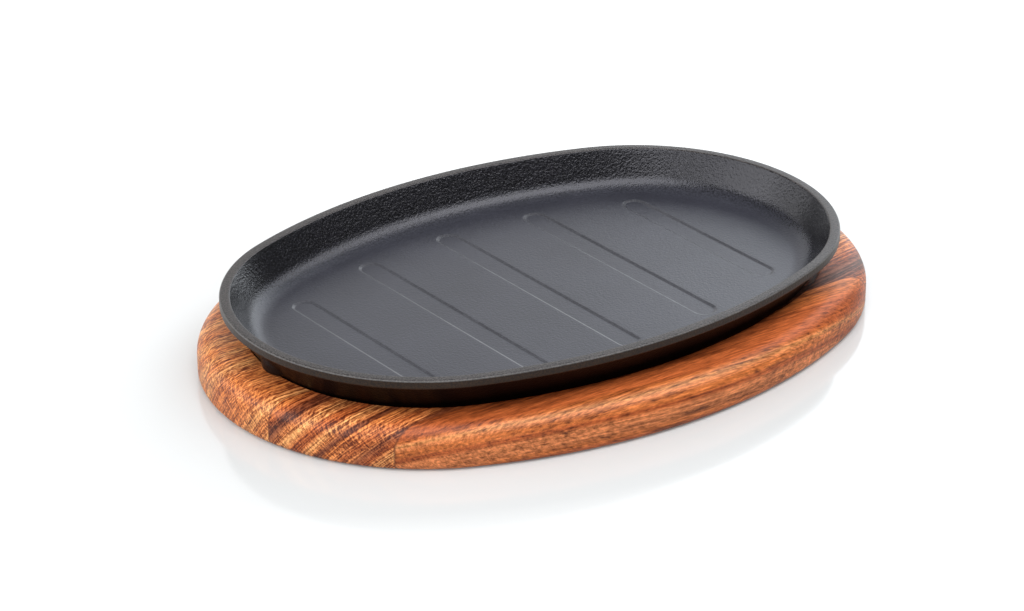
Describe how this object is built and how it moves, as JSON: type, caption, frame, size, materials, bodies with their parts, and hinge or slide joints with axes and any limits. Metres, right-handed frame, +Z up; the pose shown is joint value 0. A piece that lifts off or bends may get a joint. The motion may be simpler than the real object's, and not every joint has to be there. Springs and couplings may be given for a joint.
{
  "type": "sizzle platter on a wooden board",
  "caption": "Oval cast-iron sizzle platter with shallow cross grooves, resting in the routed recess of an oval laminated wooden board.",
  "frame": {"origin": "centre of the board's underside", "axes": "+X along the board and the platter, +Y across them, +Z up; the lug under the platter's lip is at the -X end"},
  "size_m": [0.302, 0.2134, 0.034],
  "materials": {
    "cast_iron": "seasoned, as cast, satin",
    "oiled_wood": "oiled reddish hardwood, satin"
  },
  "bodies": {
    "root": {"platter": "cast_iron", "board_stave_1": "oiled_wood", "board_stave_2": "oiled_wood", "board_stave_3": "oiled_wood", "board_stave_4": "oiled_wood", "board_stave_5": "oiled_wood"}
  },
  "joints": []
}
